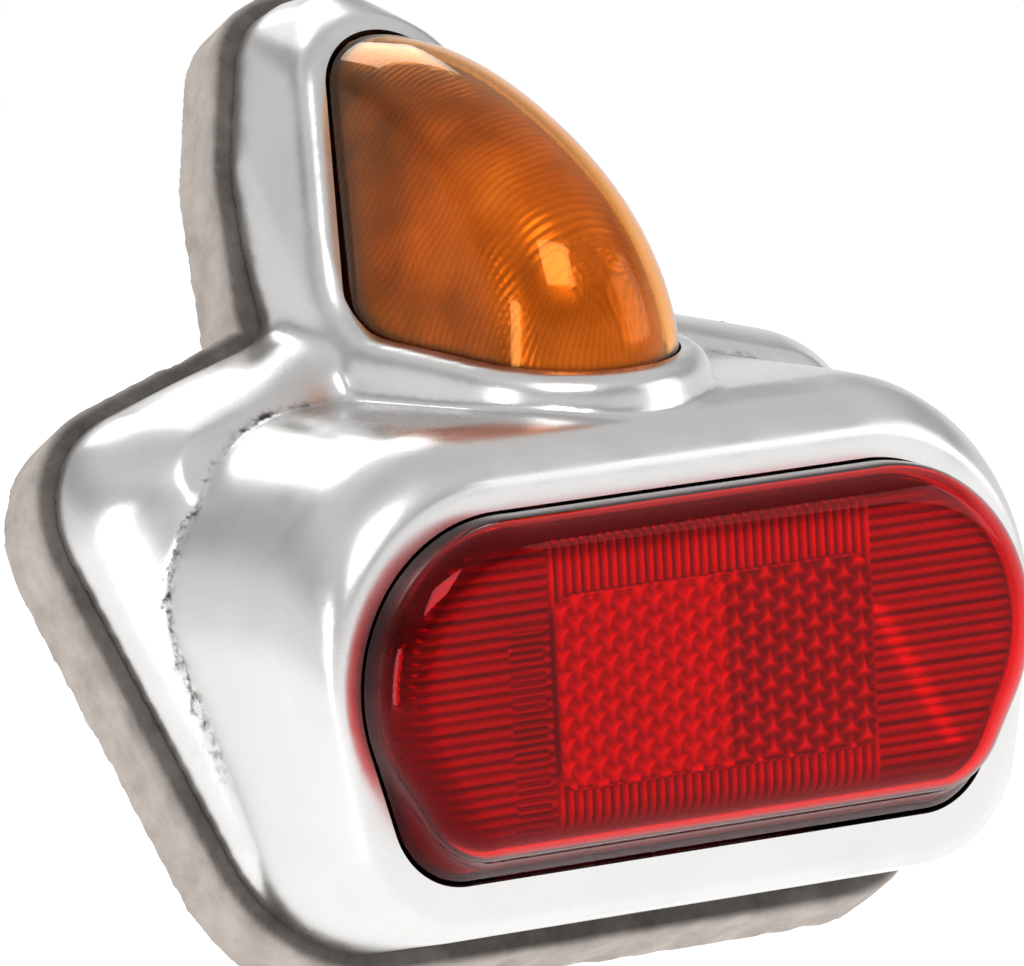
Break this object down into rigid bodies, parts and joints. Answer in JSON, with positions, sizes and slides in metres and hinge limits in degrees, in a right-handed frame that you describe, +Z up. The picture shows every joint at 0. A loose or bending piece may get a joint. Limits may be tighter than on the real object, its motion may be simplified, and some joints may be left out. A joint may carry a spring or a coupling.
{
  "type": "scooter tail light",
  "caption": "Scooter tail light: polished cast housing on a tilted rubber base pad, with a wide red lens, an amber dome above it, and bayonet bulbs on a base plate inside.",
  "frame": {"origin": "centre of the tilted mounting face, midway between the two mounting studs, on the back of the rubber pad", "axes": "+X to the right as seen from behind the scooter, +Z up as mounted, the red lens faces -Y; the mounting face leans back 30 degrees, and its outward normal is (0, -0.866, 0.5)"},
  "size_m": [0.102, 0.0825, 0.0986],
  "materials": {
    "pad_rubber": "matt aged rubber",
    "zinc_steel": "zinc plated",
    "polished_alloy": "polished casting",
    "red_acrylic": "clear red, gloss",
    "amber_acrylic": "clear amber, gloss",
    "seal_rubber": "matt",
    "clear_acrylic": "clear",
    "spring_steel": "bright",
    "white_enamel": "white enamel",
    "brown_moulding": "thermoset moulding",
    "brass": "bright",
    "tail_lead_cover": "satin",
    "stop_lead_cover": "satin",
    "socket_steel": "yellow passivated",
    "solder": "soft solder",
    "bulb_glass": "clear",
    "filament_wire": "wire"
  },
  "bodies": {
    "base": {"base_pad": "pad_rubber", "base_plate": "zinc_steel", "light_partition": "white_enamel", "partition_rivets": "zinc_steel", "socket_rivets": "zinc_steel", "terminal_block": "brown_moulding", "terminal_screws": "brass", "tail_lead": "tail_lead_cover", "stop_lead": "stop_lead_cover", "cable_grommet": "seal_rubber", "cover_screws": "zinc_steel", "cover_screw_washers": "zinc_steel", "mounting_studs": "zinc_steel", "tail_socket_shell": "socket_steel", "tail_socket_insulator": "brown_moulding", "tail_contact_tag": "brass", "tail_contact_spring": "spring_steel", "stop_socket_shell": "socket_steel", "stop_socket_insulator": "brown_moulding", "stop_contact_tag": "brass", "stop_contact_spring": "spring_steel"},
    "cover": {"housing": "polished_alloy", "red_lens": "red_acrylic", "amber_lens": "amber_acrylic", "red_lens_seal": "seal_rubber", "amber_lens_seal": "seal_rubber", "plate_window": "clear_acrylic", "window_screws": "zinc_steel", "lens_clips": "spring_steel", "clip_screws": "zinc_steel"},
    "tail_plunger": {"tail_contact_plunger": "brass"},
    "tail_bulb": {"tail_bulb_cap": "brass", "tail_bulb_contact": "solder", "tail_bulb_glass": "bulb_glass", "tail_bulb_filament": "filament_wire"},
    "stop_plunger": {"stop_contact_plunger": "brass"},
    "stop_bulb": {"stop_bulb_cap": "brass", "stop_bulb_contact": "solder", "stop_bulb_glass": "bulb_glass", "stop_bulb_filament": "filament_wire"}
  },
  "joints": [
    {"name": "housing_lift", "type": "slide", "parent": "base", "child": "cover", "axis": [0, -0.866, 0.5], "range_m": [0, 0.045]},
    {"name": "tail_contact_push", "type": "slide", "parent": "base", "child": "tail_plunger", "axis": [0, 0.866, -0.5], "range_m": [0, 0.0018], "stiffness_N_per_m": 2500, "springref_m": -0.0012, "deforming": ["tail_contact_spring"]},
    {"name": "tail_bulb_twist", "type": "hinge", "parent": "tail_plunger", "child": "tail_bulb", "pos_m": [0, -0.02251, -0.00779], "axis": [0, -0.866, 0.5], "range_deg": [0, 25]},
    {"name": "stop_contact_push", "type": "slide", "parent": "base", "child": "stop_plunger", "axis": [0, 0.866, -0.5], "range_m": [0, 0.0018], "stiffness_N_per_m": 2500, "springref_m": -0.0012, "deforming": ["stop_contact_spring"]},
    {"name": "stop_bulb_twist", "type": "hinge", "parent": "stop_plunger", "child": "stop_bulb", "pos_m": [0, -0.00051, 0.03032], "axis": [0, -0.866, 0.5], "range_deg": [0, 25]}
  ]
}
